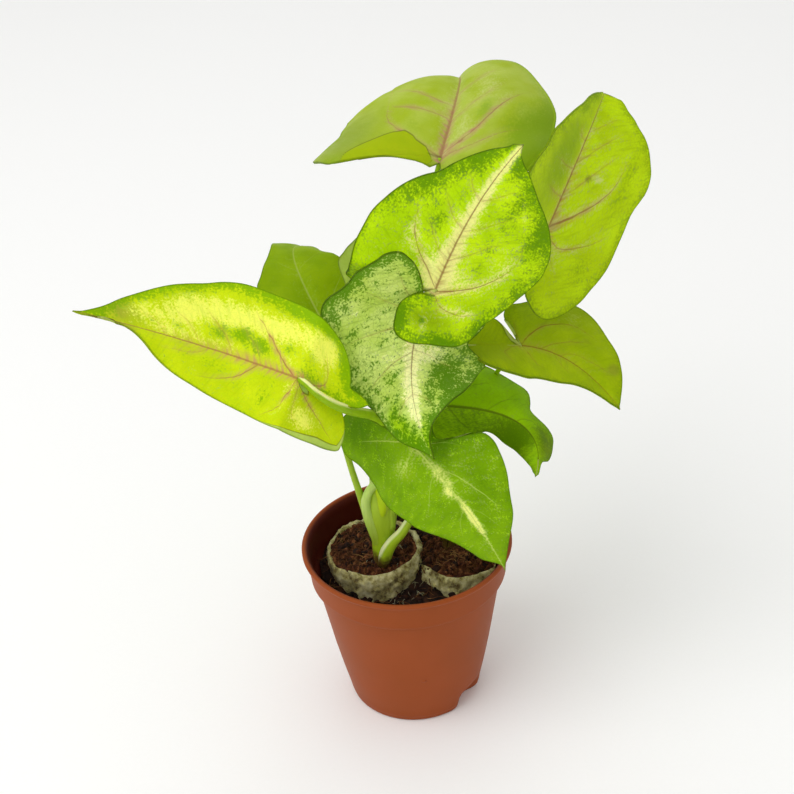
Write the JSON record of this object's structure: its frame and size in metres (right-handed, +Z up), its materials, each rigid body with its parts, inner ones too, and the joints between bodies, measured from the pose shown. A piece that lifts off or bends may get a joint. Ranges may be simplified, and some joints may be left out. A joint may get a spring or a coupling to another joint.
{
  "type": "potted arrowhead plant",
  "caption": "Young arrowhead plant with lime and pale, pink-veined arrow-shaped leaves in a small terracotta-coloured plastic nursery pot.",
  "frame": {"origin": "centre of the pot's flat underside", "axes": "+Z up along the pot's axis, -Y towards the plant's front, +X to the right seen from the front"},
  "size_m": [0.1475, 0.0904, 0.1778],
  "materials": {
    "pot_plastic": "satin terracotta-coloured moulding",
    "dark_soil": "rough, moist substrate",
    "plug_fleece": "fibrous, moss-stained",
    "coir": "rough, fibrous",
    "sheath_green": "smooth, satin",
    "leaf_lime": "satin leaf",
    "leaf_pale": "satin leaf",
    "leaf_green": "satin leaf"
  },
  "bodies": {
    "root": {"pot": "pot_plastic", "soil": "dark_soil", "plug_sleeve_left": "plug_fleece", "plug_sleeve_right": "plug_fleece", "plug_core_left": "coir", "plug_core_right": "coir", "crown": "sheath_green", "shoot": "sheath_green", "leaf_long_left": "leaf_lime", "leaf_centre": "leaf_lime", "leaf_top_back": "leaf_lime", "leaf_upper_right": "leaf_lime", "leaf_lower_right": "leaf_lime", "leaf_pale_centre": "leaf_pale", "leaf_front": "leaf_green", "leaf_folded": "leaf_lime", "leaf_back_left": "leaf_green", "leaf_small_back": "leaf_lime"}
  },
  "joints": []
}
